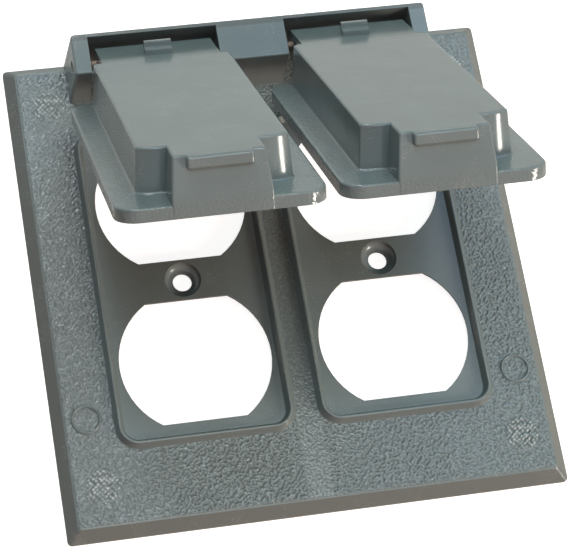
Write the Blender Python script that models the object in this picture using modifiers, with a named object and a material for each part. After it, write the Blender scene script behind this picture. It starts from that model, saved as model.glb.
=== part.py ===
"""Weatherproof cover for two duplex outlets, with a flip lid over each outlet.

Sizes are millimetres times MM, which gives metres. The cover lies on its back: +Z points out of the wall, +Y
towards the hinges and +X to the right. The origin is the centre of the plate's back. The lids stand part open.
"""

import math

import bmesh
import bpy
from mathutils import Matrix, Vector

MM = 0.001

# Outlet pattern of the wall box
GANG_PITCH = 46.04 * MM
OUTLET_PITCH = 38.9 * MM
OUTLET_RADIUS = 17.4 * MM
OUTLET_HEIGHT = 29.1 * MM
OUTLET_LAND = 0.7 * MM
SCREW_HOLE_DIAMETER = 4.4 * MM
SCREW_DISH_DIAMETER = 8.4 * MM
SCREW_DISH_DEPTH = 1.7 * MM
SCREW_BOSS_DIAMETER = 11.0 * MM
SCREW_BOSS_DEPTH = 1.0 * MM
OUTLET_GASKET_MARGIN = 1.2 * MM
OUTLET_GASKET_CORNER = 8.0 * MM

# Plate
PLATE_DEPTH = 3.7 * MM
PLATE_SIDE_MARGIN = 13.58 * MM
PLATE_REAR_MARGIN = 0.75 * MM
PLATE_WALL = 1.8 * MM
PLATE_CORNER = 1.0 * MM
EDGE_HEIGHT = 0.7 * MM
BEVEL_WIDTH = 2.6 * MM
CREASE_RADIUS = 0.4 * MM
BACK_RIM_WIDTH = 3.4 * MM
BACK_CORNER = 2.0 * MM
FLOOR_DROP = 0.2 * MM

# Raised rim round each outlet: a low upright foot, an outer slope, a narrow top and an inner slope
RIM_SIDE_MARGIN = 3.15 * MM
RIM_END_MARGIN = 4.95 * MM
RIM_HEIGHT = 2.1 * MM
RIM_FOOT_HEIGHT = 0.35 * MM
RIM_FOOT_EDGE = 0.12 * MM
RIM_OUTER_SLOPE = 0.85 * MM
RIM_TOP_WIDTH = 0.6 * MM
RIM_INNER_SLOPE = 0.8 * MM
RIM_CORNER = 5.3 * MM
RIM_EDGE = 0.15 * MM

# Hinge housing and pins
HINGE_SET_BACK = 11.95 * MM
HOUSING_HEIGHT = 14.9 * MM
HOUSING_FRONT_REACH = 3.9 * MM
HOUSING_DRAFT = 0.35 * MM
HOUSING_SIDE_DRAFT = 0.95 * MM
HOUSING_CORNER = 0.8 * MM
HOUSING_EDGE = 0.45 * MM
HOUSING_CORE_WALL = 1.6 * MM
SIDE_WALL = 3.8 * MM
REAR_WALL = 1.0 * MM
REAR_CLEARANCE = 1.6 * MM
POCKET_CLEARANCE = 1.55 * MM
PIN_DIAMETER = 2.4 * MM
PIN_SEAT = 2.2 * MM
PIN_CHAMFER = 0.3 * MM
PIN_END_GAP = 0.3 * MM
PIN_FIT = 0.12 * MM
KNUCKLE_FIT = 0.16 * MM

# Lid
REST_OPENING = 49.0
FLANGE_THICKNESS = 2.9 * MM
FLANGE_CORNER = 5.0 * MM
FLANGE_EDGE = 0.5 * MM
FLANGE_SIDE_COVER = 1.15 * MM
FLANGE_END_COVER = 0.5 * MM
SEAT_GAP = 0.35 * MM
BOX_WIDTH = 32.4 * MM
BOX_REAR_INSET = 1.2 * MM
BOX_FRONT_INSET = 9.1 * MM
BOX_DRAFT = 0.55 * MM
BOX_REAR_CORNER = 0.9 * MM
BOX_EDGE = 0.5 * MM
COLUMN_SET_BACK = 1.1 * MM
COLUMN_BULGE = 0.8 * MM
COLUMN_ROOT = 0.6 * MM
COLUMN_EDGE = 0.3 * MM
BOX_FILLET = 0.45 * MM
LID_WALL = 1.9 * MM
SKIRT_WALL = 1.0 * MM
RECESS_DEPTH = 1.3 * MM
BLOCK_WIDTH = 20.8 * MM
BLOCK_SET_BACK = 2.1 * MM
BLOCK_DRAFT = 0.9 * MM
BLOCK_PROUD = 0.1 * MM
BLOCK_BEND = 2.4 * MM
LIP_WIDTH = 13.6 * MM
LIP_THICKNESS = 2.9 * MM
LIP_SHORTFALL = 0.4 * MM
LIP_ROOT = 3.0 * MM
LIP_EDGE = 0.6 * MM

# Lid tail, barrel and stop lug
TAIL_WIDTH = 27.0 * MM
TAIL_WALL = 1.6 * MM
TAIL_STEP = 0.15 * MM
BARREL_RADIUS = 3.7 * MM
KNUCKLE_WIDTH = 7.0 * MM
LUG_WIDTH = 6.2 * MM
LUG_START = 2.6 * MM
LUG_LOW_DEPTH = 1.8 * MM
LUG_LOW_HEIGHT = 1.2 * MM
LUG_HIGH_DEPTH = 1.5 * MM
LUG_HIGH_HEIGHT = 2.6 * MM
LUG_EDGE = 0.3 * MM
MOUTH_FRONT_DROP = 0.3 * MM
MOUTH_REAR_RISE = 1.8 * MM

# Torsion springs
WIRE_DIAMETER = 0.8 * MM
COIL_CLEARANCE = 0.4 * MM
COIL_TURNS = 6
COIL_PITCH = 1.3 * MM
COIL_STEPS = 12
FLOOR_LEG_ANGLE = 240.0
SPRING_GAP = 0.3 * MM
LEG_TIP = 1.2 * MM
LEG_HOLE_WIDTH = 1.6 * MM

# Gaskets
GASKET_GAP = 0.3 * MM
LID_GASKET_WIDTH = 4.4 * MM
LID_GASKET_REAR_WIDTH = 1.5 * MM
LID_GASKET_CORNER = 2.0 * MM
LID_GASKET_THICKNESS = 0.9 * MM

# Facets of a quarter turn, and how far one solid reaches into the next before they are joined or cut
CORNER_STEPS = 6
EDGE_STEPS = 3
OVERLAP = 1.0 * MM

# Heights and places that follow
RIM_WIDTH = 2 * (OUTLET_RADIUS + RIM_SIDE_MARGIN)
RIM_LENGTH = OUTLET_PITCH + OUTLET_HEIGHT + 2 * RIM_END_MARGIN
HINGE_Y = RIM_LENGTH / 2 + HINGE_SET_BACK
PLATE_WIDTH = GANG_PITCH + RIM_WIDTH + 2 * PLATE_SIDE_MARGIN
PLATE_HEIGHT = 2 * (HINGE_Y + BARREL_RADIUS + REAR_CLEARANCE + REAR_WALL + PLATE_REAR_MARGIN)
FACE_Z = PLATE_DEPTH
FLOOR_Z = FACE_Z - FLOOR_DROP
RECESS_ROOF_Z = PLATE_DEPTH - PLATE_WALL
RIM_TOP_Z = FLOOR_Z + RIM_HEIGHT
HOUSING_TOP_Z = FLOOR_Z + HOUSING_HEIGHT
LID_TOP = BARREL_RADIUS + TAIL_STEP
HINGE_Z = HOUSING_TOP_Z - LID_TOP
GANG_X = GANG_PITCH / 2
HOUSING_FRONT_Y = HINGE_Y - HOUSING_FRONT_REACH
POCKET_REAR_Y = HINGE_Y + BARREL_RADIUS + REAR_CLEARANCE
HOUSING_REAR_Y = POCKET_REAR_Y + REAR_WALL
POCKET_WIDTH = TAIL_WIDTH + 2 * POCKET_CLEARANCE
HOUSING_HALF_WIDTH = GANG_X + POCKET_WIDTH / 2 + SIDE_WALL

# The lid's own frame: origin on the hinge axis, lid closed, -Y towards the front
FLANGE_BOTTOM = RIM_TOP_Z + SEAT_GAP - HINGE_Z
FLANGE_TOP = FLANGE_BOTTOM + FLANGE_THICKNESS
FLANGE_WIDTH = RIM_WIDTH + 2 * FLANGE_SIDE_COVER
FLANGE_REAR = RIM_LENGTH / 2 + FLANGE_END_COVER - HINGE_Y
FLANGE_FRONT = -RIM_LENGTH / 2 - FLANGE_END_COVER - HINGE_Y
BOX_REAR = FLANGE_REAR - BOX_REAR_INSET
BOX_FRONT = FLANGE_FRONT + BOX_FRONT_INSET
BLOCK_FRONT = FLANGE_FRONT + BLOCK_SET_BACK
CAVITY_WIDTH = TAIL_WIDTH - 2 * KNUCKLE_WIDTH
COIL_RADIUS = PIN_DIAMETER / 2 + COIL_CLEARANCE + WIRE_DIAMETER / 2
CAVITY_RADIUS = COIL_RADIUS + WIRE_DIAMETER / 2 + SPRING_GAP
LEG_OFFSET = COIL_TURNS * COIL_PITCH / 2
GASKET_INSET = SKIRT_WALL + GASKET_GAP
GASKET_INNER_FRONT = FLANGE_FRONT + GASKET_INSET + LID_GASKET_WIDTH


def clear_scene():
    """Removes what the scene holds."""
    for item in list(bpy.data.objects):
        bpy.data.objects.remove(item, do_unlink=True)


def new_collection(name):
    """Adds a collection to the scene."""
    collection = bpy.data.collections.new(name)
    bpy.context.scene.collection.children.link(collection)
    return collection


def new_material(name, colour, roughness, metallic):
    """Makes a material with one Principled shader."""
    material = bpy.data.materials.new(name)
    material.use_nodes = True
    shader = material.node_tree.nodes["Principled BSDF"]
    shader.inputs["Base Color"].default_value = (*colour, 1.0)
    shader.inputs["Roughness"].default_value = roughness
    shader.inputs["Metallic"].default_value = metallic
    return material


clear_scene()
PARTS = new_collection("weatherproof_outlet_cover")
TOOLS = new_collection("cutters")


def tool_object(name, mesh, location=(0, 0, 0)):
    """Puts a mesh among the cutters, out of the renders."""
    item = bpy.data.objects.new(name, mesh)
    item.location = location
    item.hide_render = True
    item.display_type = "WIRE"
    TOOLS.objects.link(item)
    return item


def mesh_from(name, shape):
    """Writes a bmesh to a new mesh and frees it."""
    bmesh.ops.recalc_face_normals(shape, faces=shape.faces)
    mesh = bpy.data.meshes.new(name)
    shape.to_mesh(mesh)
    shape.free()
    return mesh


def evaluated_mesh(item):
    """The mesh that an object gives after its modifiers, with loose caps welded."""
    bpy.context.view_layer.update()
    graph = bpy.context.evaluated_depsgraph_get()
    mesh = bpy.data.meshes.new_from_object(item.evaluated_get(graph), depsgraph=graph)
    shape = bmesh.new()
    shape.from_mesh(mesh)
    bmesh.ops.remove_doubles(shape, verts=shape.verts, dist=1e-6)
    shape.to_mesh(mesh)
    shape.free()
    return mesh


def corner(centre, radius, start, steps=CORNER_STEPS):
    """Points of a quarter turn, counterclockwise from the start angle in degrees."""
    angles = [math.radians(start + 90.0 * i / steps) for i in range(steps + 1)]
    return [(centre[0] + radius * math.cos(a), centre[1] + radius * math.sin(a)) for a in angles]


def rounded_outline(x_low, x_high, y_low, y_high, front_radius, rear_radius):
    """A rectangle with one radius at its two front corners, at low y, and one at its two rear corners."""
    front = max(front_radius, 0.02 * MM)
    rear = max(rear_radius, 0.02 * MM)
    return (
        corner((x_high - front, y_low + front), front, -90)
        + corner((x_high - rear, y_high - rear), rear, 0)
        + corner((x_low + rear, y_high - rear), rear, 90)
        + corner((x_low + front, y_low + front), front, 180)
    )


def centred_outline(width, length, radius, centre=(0.0, 0.0)):
    """A rounded rectangle about a centre."""
    return rounded_outline(
        centre[0] - width / 2,
        centre[0] + width / 2,
        centre[1] - length / 2,
        centre[1] + length / 2,
        radius,
        radius,
    )


def outlet_outline(centre, grow=0.0):
    """The outline of one outlet face: a circle with a flat above and below."""
    radius = OUTLET_RADIUS + grow
    half_height = OUTLET_HEIGHT / 2 + grow
    reach = math.asin(half_height / radius)
    steps = 3 * CORNER_STEPS
    right = [reach * (2 * i / steps - 1) for i in range(steps + 1)]
    angles = right + [math.pi + a for a in right]
    return [(centre[0] + radius * math.cos(a), centre[1] + radius * math.sin(a)) for a in angles]


def circle_outline(centre, radius, steps=32):
    """Points of a circle, counterclockwise."""
    angles = [2 * math.pi * i / steps for i in range(steps)]
    return [(centre[0] + radius * math.cos(a), centre[1] + radius * math.sin(a)) for a in angles]


def softened(outline, radius):
    """Rounds every corner of an outline a little."""
    points = []
    for i, here in enumerate(outline):
        middle = Vector(here)
        before = middle + (Vector(outline[i - 1]) - middle).normalized() * radius
        after = middle + (Vector(outline[(i + 1) % len(outline)]) - middle).normalized() * radius
        for share in (0.0, 0.5, 1.0):
            points.append(before.lerp(middle, share).lerp(middle.lerp(after, share), share)[:])
    return points


def loft(name, sections):
    """Joins outlines of equally many points, each given with its height, lowest first, and closes both ends."""
    shape = bmesh.new()
    rings = [[shape.verts.new((x, y, z)) for x, y in outline] for z, outline in sections]
    count = len(rings[0])
    for low, high in zip(rings, rings[1:]):
        for i in range(count):
            j = (i + 1) % count
            shape.faces.new((low[i], low[j], high[j], high[i]))
    shape.faces.new(list(reversed(rings[0])))
    shape.faces.new(rings[-1])
    return tool_object(name, mesh_from(name, shape))


def block(name, low, high):
    """A box between two corners."""
    shape = bmesh.new()
    bmesh.ops.create_cube(shape, size=1.0)
    low = Vector(low)
    high = Vector(high)
    size = high - low
    place = Matrix.Translation((low + high) / 2) @ Matrix.Diagonal((*size, 1.0))
    bmesh.ops.transform(shape, matrix=place, verts=shape.verts)
    return tool_object(name, mesh_from(name, shape))


def mesh_of_curve(curve):
    """The closed surface that a curve gives."""
    source = bpy.data.objects.new(curve.name, curve)
    TOOLS.objects.link(source)
    mesh = evaluated_mesh(source)
    bpy.data.objects.remove(source, do_unlink=True)
    return mesh


def extruded_mesh(name, outlines, low, high):
    """Extrudes flat outlines from one height to another; an outline inside another is a hole."""
    curve = bpy.data.curves.new(name, "CURVE")
    curve.dimensions = "2D"
    curve.fill_mode = "BOTH"
    curve.extrude = (high - low) / 2
    for outline in outlines:
        spline = curve.splines.new("POLY")
        spline.points.add(len(outline) - 1)
        for point, (x, y) in zip(spline.points, outline):
            point.co = (x, y, 0.0, 1.0)
        spline.use_cyclic_u = True
    mesh = mesh_of_curve(curve)
    mesh.transform(Matrix.Translation((0, 0, (low + high) / 2)))
    return mesh


def extruded(name, outline, low, high):
    """A cutter made of one flat outline."""
    return tool_object(name, extruded_mesh(name, [outline], low, high))


def extruded_across(name, outline, x_low, x_high):
    """Extrudes an outline given in (y, z) from one x to another."""
    item = extruded(name, outline, x_low, x_high)
    turn = Matrix(((0, 0, 1, 0), (1, 0, 0, 0), (0, 1, 0, 0), (0, 0, 0, 1)))
    item.data.transform(turn)
    return item


def turned_mesh(name, profile, steps=32):
    """Turns a profile of (radius, height), top to bottom, about Z."""
    mesh = bpy.data.meshes.new(name)
    edges = [(i, i + 1) for i in range(len(profile) - 1)]
    mesh.from_pydata([(r, 0.0, z) for r, z in profile], edges, [])
    item = tool_object(name, mesh)
    screw = item.modifiers.new("Turn", "SCREW")
    screw.steps = steps
    screw.render_steps = steps
    screw.use_merge_vertices = True
    screw.merge_threshold = 0.00001
    solid = evaluated_mesh(item)
    bpy.data.objects.remove(item, do_unlink=True)
    return solid


def cylinder_across(name, radius, x_low, x_high, steps=32):
    """A cylinder along X about the local origin."""
    return extruded_across(name, circle_outline((0.0, 0.0), radius, steps), x_low, x_high)


def boolean(target, tools, operation):
    """Joins tools to a target or cuts them from it."""
    for tool in tools:
        step = target.modifiers.new(tool.name, "BOOLEAN")
        step.operation = operation
        step.solver = "EXACT"
        step.object = tool


def rounded_edge(radius):
    """Drop below the top and inset of each ring of a rounded upper edge, lowest first."""
    angles = [math.pi / 2 * i / EDGE_STEPS for i in range(EDGE_STEPS + 1)]
    return [(radius * (1 - math.sin(a)), radius * (1 - math.cos(a))) for a in angles]


def shade(mesh):
    """Shades smooth across gentle bends only."""
    mesh.shade_smooth()
    mesh.set_sharp_from_angle(angle=math.radians(35))


def finished(name, mesh, material, location=(0, 0, 0), tilt=0.0, parent=None):
    """Puts a finished mesh among the parts, under its name."""
    item = bpy.data.objects.new(name, mesh)
    PARTS.objects.link(item)
    item.location = location
    item.rotation_euler = (tilt, 0.0, 0.0)
    item.parent = parent
    if not mesh.materials:
        mesh.materials.append(material)
    shade(mesh)
    return item


def plate_blank():
    """The plate: an upright edge, then a bevel that rounds over into the face."""

    def outline(inset):
        return centred_outline(PLATE_WIDTH - 2 * inset, PLATE_HEIGHT - 2 * inset, PLATE_CORNER)

    slope = (PLATE_DEPTH - EDGE_HEIGHT) / BEVEL_WIDTH
    sections = [
        (0.0, outline(0.0)),
        (EDGE_HEIGHT, outline(0.0)),
        (FACE_Z - slope * CREASE_RADIUS, outline(BEVEL_WIDTH - CREASE_RADIUS)),
        (FACE_Z - 0.3 * slope * CREASE_RADIUS, outline(BEVEL_WIDTH - 0.4 * CREASE_RADIUS)),
        (FACE_Z, outline(BEVEL_WIDTH + CREASE_RADIUS)),
    ]
    return loft("base_plate_blank", sections)


def housing_blank():
    """The raised block that holds both hinges, drafted, with rounded upper edges."""

    def outline(inset, side_inset):
        return rounded_outline(
            -HOUSING_HALF_WIDTH + side_inset,
            HOUSING_HALF_WIDTH - side_inset,
            HOUSING_FRONT_Y + inset,
            HOUSING_REAR_Y - inset,
            HOUSING_CORNER,
            HOUSING_CORNER,
        )

    sections = [(FACE_Z - OVERLAP, outline(-HOUSING_DRAFT, -HOUSING_SIDE_DRAFT))]
    for drop, inset in rounded_edge(HOUSING_EDGE):
        sections.append((HOUSING_TOP_Z - drop, outline(inset, inset)))
    return loft("housing", sections)


def rim_outline(x, inset):
    """The outline of one rim, drawn in from its outer foot."""
    return centred_outline(RIM_WIDTH - 2 * inset, RIM_LENGTH - 2 * inset, RIM_CORNER - inset, (x, 0.0))


def rim_blank(x):
    """The outer form of the raised rim round one outlet."""
    sections = [
        (FACE_Z - OVERLAP, rim_outline(x, 0.0)),
        (FACE_Z + RIM_FOOT_HEIGHT - RIM_FOOT_EDGE, rim_outline(x, 0.0)),
        (FACE_Z + RIM_FOOT_HEIGHT, rim_outline(x, RIM_FOOT_EDGE)),
    ]
    for drop, inset in rounded_edge(RIM_EDGE):
        sections.append((RIM_TOP_Z - drop, rim_outline(x, RIM_OUTER_SLOPE + inset)))
    return loft("rim", sections)


def rim_floor_cutter(x):
    """Cuts the inside of the rim down to the floor."""
    foot = RIM_OUTER_SLOPE + RIM_TOP_WIDTH + RIM_INNER_SLOPE
    top = RIM_OUTER_SLOPE + RIM_TOP_WIDTH
    sections = [(FLOOR_Z, rim_outline(x, foot))]
    for drop, inset in rounded_edge(RIM_EDGE):
        sections.append((RIM_TOP_Z - drop, rim_outline(x, top - inset)))
    sections.append((RIM_TOP_Z + OVERLAP, rim_outline(x, top - RIM_EDGE)))
    return loft("rim_floor", sections)


def outlet_cutter(x, y):
    """Cuts one outlet opening: a short straight land, then a chamfer that widens towards the back."""
    land_z = FLOOR_Z - OUTLET_LAND
    depth = land_z - RECESS_ROOF_Z + OVERLAP
    sections = [
        (land_z - depth, outlet_outline((x, y), depth)),
        (land_z, outlet_outline((x, y))),
        (FACE_Z + OVERLAP, outlet_outline((x, y))),
    ]
    return loft("outlet", sections)


def screw_cutter(x):
    """Cuts the dished screw hole between the two outlets of one gang."""
    hole = SCREW_HOLE_DIAMETER / 2
    dish = SCREW_DISH_DIAMETER / 2
    angles = [math.pi / 2 * i / CORNER_STEPS for i in range(CORNER_STEPS + 1)]
    bowl = [(hole + (dish - hole) * math.cos(a), FLOOR_Z - SCREW_DISH_DEPTH * math.sin(a)) for a in angles]
    top = FLOOR_Z + OVERLAP
    profile = [(0.0, top), (dish, top), *bowl, (hole, -OVERLAP), (0.0, -OVERLAP)]
    return tool_object("screw_hole", turned_mesh("screw_hole", profile), (x, 0.0, 0.0))


def screw_boss(x):
    """The thicker seat behind a screw hole."""
    low = RECESS_ROOF_Z - SCREW_BOSS_DEPTH
    outline = circle_outline((x, 0.0), SCREW_BOSS_DIAMETER / 2)
    return extruded("screw_boss", outline, low, FLOOR_Z - OVERLAP / 2)


def back_cutter():
    """Hollows the plate's back to leave a rim at its edge."""
    outline = centred_outline(PLATE_WIDTH - 2 * BACK_RIM_WIDTH, PLATE_HEIGHT - 2 * BACK_RIM_WIDTH, BACK_CORNER)
    return extruded("back_recess", outline, -OVERLAP, RECESS_ROOF_Z)


def pocket_cutter(x):
    """Cuts the pocket for one lid's barrel, open towards the front and the top."""
    low = (x - POCKET_WIDTH / 2, HOUSING_FRONT_Y - OVERLAP, FACE_Z)
    high = (x + POCKET_WIDTH / 2, POCKET_REAR_Y, HOUSING_TOP_Z + OVERLAP)
    return block("hinge_pocket", low, high)


def core_cutter():
    """Hollows the middle of the housing from behind."""
    half_width = GANG_X - POCKET_WIDTH / 2 - PIN_SEAT - HOUSING_CORE_WALL
    low = (-half_width, HOUSING_FRONT_Y + HOUSING_CORE_WALL, 0.0)
    high = (half_width, HOUSING_REAR_Y - HOUSING_CORE_WALL, HOUSING_TOP_Z - HOUSING_CORE_WALL)
    return block("housing_core", low, high)


def pin_bore_cutter(side):
    """Cuts one pin's bore: through the outer side wall and part way into the middle of the housing."""
    inner = GANG_X - POCKET_WIDTH / 2 - PIN_SEAT - PIN_END_GAP
    outer = HOUSING_HALF_WIDTH + OVERLAP
    ends = sorted((side * inner, side * outer))
    item = cylinder_across("pin_bore", PIN_DIAMETER / 2 + PIN_FIT, *ends)
    item.location = (0.0, HINGE_Y, HINGE_Z)
    return item


def make_base_plate(material):
    """The die-cast plate with its rims, outlet openings and hinge housing."""
    target = plate_blank()
    joined = [housing_blank()]
    cuts = [back_cutter()]
    bosses = []
    openings = []
    for side in (-1, 1):
        x = side * GANG_X
        joined.append(rim_blank(x))
        cuts.append(rim_floor_cutter(x))
        bosses.append(screw_boss(x))
        openings += [outlet_cutter(x, -OUTLET_PITCH / 2), outlet_cutter(x, OUTLET_PITCH / 2), screw_cutter(x)]
        openings += [pocket_cutter(x), pin_bore_cutter(side)]
    boolean(target, joined, "UNION")
    boolean(target, cuts, "DIFFERENCE")
    boolean(target, bosses, "UNION")
    boolean(target, openings + [core_cutter()], "DIFFERENCE")
    return finished("base_plate", evaluated_mesh(target), material)


def flange_outline(inset):
    """The lid's rim in plan."""
    return rounded_outline(
        -FLANGE_WIDTH / 2 + inset,
        FLANGE_WIDTH / 2 - inset,
        FLANGE_FRONT + inset,
        FLANGE_REAR - inset,
        FLANGE_CORNER - inset,
        FLANGE_CORNER - inset,
    )


def flange_blank():
    """The flat rim of the lid, with a rounded upper edge."""
    sections = [(FLANGE_BOTTOM, flange_outline(0.0))]
    for drop, inset in rounded_edge(FLANGE_EDGE):
        sections.append((FLANGE_TOP - drop, flange_outline(inset)))
    return loft("lid_blank", sections)


def column_front(half, front):
    """The bulging front of the box beside a notch, from under the block out to the box's side."""
    inner = Vector((BLOCK_WIDTH / 2 - BLOCK_DRAFT - COLUMN_ROOT, front))
    outer = Vector((half, front + COLUMN_SET_BACK))
    chord = outer - inner
    outward = Vector((chord.y, -chord.x)).normalized() * COLUMN_BULGE
    steps = 2 * CORNER_STEPS
    shares = [i / steps for i in range(steps + 1)]
    points = [inner + chord * t + outward * (4 * t * (1 - t)) for t in shares]
    before = outer + (points[-2] - outer).normalized() * COLUMN_EDGE
    after = outer + Vector((0.0, COLUMN_EDGE))
    middle = (before + after) / 4 + outer / 2
    return [point[:] for point in [*points[:-1], before, middle, after]]


def box_outline(inset):
    """The raised box of the lid in plan: on each side of the block its front bulges like a column."""
    half = BOX_WIDTH / 2 - inset
    rear = BOX_REAR - inset - BOX_REAR_CORNER
    right = column_front(half, BOX_FRONT + inset)
    left = [(-x, y) for x, y in reversed(right)]
    return (
        right
        + corner((half - BOX_REAR_CORNER, rear), BOX_REAR_CORNER, 0)
        + corner((BOX_REAR_CORNER - half, rear), BOX_REAR_CORNER, 90)
        + left
    )


def box_blank():
    """The raised box: a fillet at its foot, drafted walls and a rounded upper edge."""
    sections = [(FLANGE_TOP - OVERLAP, box_outline(-BOX_FILLET))]
    for i in range(EDGE_STEPS + 1):
        angle = math.pi / 2 * i / EDGE_STEPS
        rise = BOX_FILLET * (1 - math.cos(angle))
        flare = BOX_FILLET * (1 - math.sin(angle))
        sections.append((FLANGE_TOP + rise, box_outline(-flare)))
    for drop, inset in rounded_edge(BOX_EDGE):
        sections.append((LID_TOP - drop, box_outline(BOX_DRAFT + inset)))
    return loft("box", sections)


def front_block():
    """The block between the two front notches: it is flush with the flange's edge, then leans back."""

    def outline(share, inset=0.0):
        half = BLOCK_WIDTH / 2 - share * BLOCK_DRAFT - inset
        front = FLANGE_FRONT - BLOCK_PROUD + share * (BLOCK_SET_BACK + BLOCK_PROUD) + inset
        rear = BOX_FRONT + LID_WALL + OVERLAP
        return rounded_outline(-half, half, front, rear, BOX_EDGE, BOX_EDGE)

    sections = [(FLANGE_BOTTOM + BLOCK_PROUD, outline(0.0)), (FLANGE_TOP - FLANGE_EDGE, outline(0.0))]
    for i in range(1, EDGE_STEPS + 1):
        rise = i / EDGE_STEPS * BLOCK_BEND
        share = rise * rise / (2 * BLOCK_BEND * (LID_TOP - FLANGE_TOP + FLANGE_EDGE - BLOCK_BEND / 2))
        sections.append((FLANGE_TOP - FLANGE_EDGE + rise, outline(share)))
    for drop, inset in rounded_edge(BOX_EDGE):
        sections.append((LID_TOP - drop, outline(1.0, inset)))
    return loft("front_block", sections)


def finger_lip():
    """The lip that a finger lifts, at the top of the front block, with rounded edges."""

    def outline(inset):
        half = LIP_WIDTH / 2 - inset
        front = FLANGE_FRONT + LIP_SHORTFALL + inset
        return rounded_outline(-half, half, front, BLOCK_FRONT + LIP_ROOT, LIP_EDGE, LIP_EDGE)

    sections = [(LID_TOP - LIP_THICKNESS, outline(LIP_EDGE)), (LID_TOP - LIP_THICKNESS + LIP_EDGE, outline(0.0))]
    for drop, inset in rounded_edge(LIP_EDGE):
        sections.append((LID_TOP - drop, outline(inset)))
    return loft("finger_lip", sections)


def tail_and_barrel():
    """The web behind the box that runs out into the hinge barrel."""
    underside = BARREL_RADIUS - TAIL_WALL
    front = math.acos(underside / BARREL_RADIUS)
    steps = 6 * CORNER_STEPS
    turn = 2 * math.pi - front
    barrel = []
    for i in range(steps + 1):
        angle = turn * i / steps
        barrel.append((BARREL_RADIUS * math.sin(angle), BARREL_RADIUS * math.cos(angle)))
    inside = BOX_REAR - OVERLAP
    outline = [(inside, BARREL_RADIUS), *barrel, (inside, underside)]
    return extruded_across("tail", outline, -TAIL_WIDTH / 2, TAIL_WIDTH / 2)


def stop_lug():
    """The two-step lug on top of the tail."""
    front = BOX_REAR + LUG_START
    step = front + LUG_LOW_DEPTH
    rear = step + LUG_HIGH_DEPTH
    low = LID_TOP + LUG_LOW_HEIGHT
    high = LID_TOP + LUG_HIGH_HEIGHT
    foot = BARREL_RADIUS - TAIL_WALL / 2
    outline = [(front, foot), (front, low), (step, low), (step, high), (rear, high), (rear, foot)]
    return extruded_across("stop_lug", softened(outline, LUG_EDGE), -LUG_WIDTH / 2, LUG_WIDTH / 2)


def lid_hollows():
    """What is cut from below: the gasket's recess, the box's inside and the front block's inside."""
    recess_roof = FLANGE_BOTTOM + RECESS_DEPTH
    below = FLANGE_BOTTOM - OVERLAP
    recess = extruded("gasket_recess", flange_outline(SKIRT_WALL), below, recess_roof)
    inside = loft(
        "box_inside",
        [
            (below, box_outline(LID_WALL)),
            (FLANGE_TOP, box_outline(LID_WALL)),
            (LID_TOP - LID_WALL, box_outline(LID_WALL + BOX_DRAFT)),
        ],
    )
    half = BLOCK_WIDTH / 2 - LID_WALL - BLOCK_DRAFT / 2
    block_inside = block(
        "block_inside",
        (-half, GASKET_INNER_FRONT + GASKET_GAP, below),
        (half, BOX_FRONT + LID_WALL + BOX_DRAFT + OVERLAP, LID_TOP - LIP_THICKNESS - LID_WALL / 2),
    )
    return [recess, inside, block_inside]


def barrel_hollows():
    """What is cut from the barrel: the pin's bore, the spring's space and the holes for the spring's leg."""
    bore = cylinder_across("knuckle_bore", PIN_DIAMETER / 2 + KNUCKLE_FIT, -TAIL_WIDTH, TAIL_WIDTH)
    space = cylinder_across("spring_space", CAVITY_RADIUS, -CAVITY_WIDTH / 2, CAVITY_WIDTH / 2)
    reach = BARREL_RADIUS + OVERLAP
    outline = [(-reach, -reach), (reach, -reach), (reach, MOUTH_REAR_RISE), (-reach, -MOUTH_FRONT_DROP)]
    mouth = extruded_across("spring_mouth", outline, -CAVITY_WIDTH / 2, CAVITY_WIDTH / 2)
    holes = []
    for side in (-1, 1):
        x = side * LEG_OFFSET
        low = (x - LEG_HOLE_WIDTH / 2, BOX_REAR - LID_WALL - OVERLAP, -COIL_RADIUS - LEG_HOLE_WIDTH / 2)
        high = (x + LEG_HOLE_WIDTH / 2, BOX_REAR + OVERLAP, LEG_HOLE_WIDTH / 2 - COIL_RADIUS)
        holes.append(block("leg_hole", low, high))
    return [bore, space, mouth, *holes]


def make_lid_mesh():
    """One lid casting in its own frame, shared by both lids."""
    target = flange_blank()
    boolean(target, [box_blank(), front_block(), finger_lip(), tail_and_barrel(), stop_lug()], "UNION")
    boolean(target, lid_hollows() + barrel_hollows(), "DIFFERENCE")
    mesh = evaluated_mesh(target)
    mesh.name = "lid"
    return mesh


def make_lid_gasket_mesh():
    """The foam ring in the lid's recess, over the plate's rim."""
    high = FLANGE_BOTTOM + RECESS_DEPTH - GASKET_GAP
    half = FLANGE_WIDTH / 2 - GASKET_INSET - LID_GASKET_WIDTH
    rear = FLANGE_REAR - GASKET_INSET - LID_GASKET_REAR_WIDTH
    hole = rounded_outline(-half, half, GASKET_INNER_FRONT, rear, LID_GASKET_CORNER, LID_GASKET_CORNER)
    return extruded_mesh("lid_gasket", [flange_outline(GASKET_INSET), hole], high - LID_GASKET_THICKNESS, high)


def make_plate_gasket_mesh():
    """The foam sheet behind the plate, with one cut-out for each pair of outlets."""
    inset = BACK_RIM_WIDTH + GASKET_GAP
    outer = centred_outline(PLATE_WIDTH - 2 * inset, PLATE_HEIGHT - 2 * inset, BACK_CORNER - GASKET_GAP)
    width = 2 * (OUTLET_RADIUS + OUTLET_GASKET_MARGIN)
    length = OUTLET_PITCH + OUTLET_HEIGHT + 2 * OUTLET_GASKET_MARGIN
    holes = [centred_outline(width, length, OUTLET_GASKET_CORNER, (x, 0.0)) for x in (-GANG_X, GANG_X)]
    return extruded_mesh("plate_gasket", [outer, *holes], 0.0, RECESS_ROOF_Z - GASKET_GAP)


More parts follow.
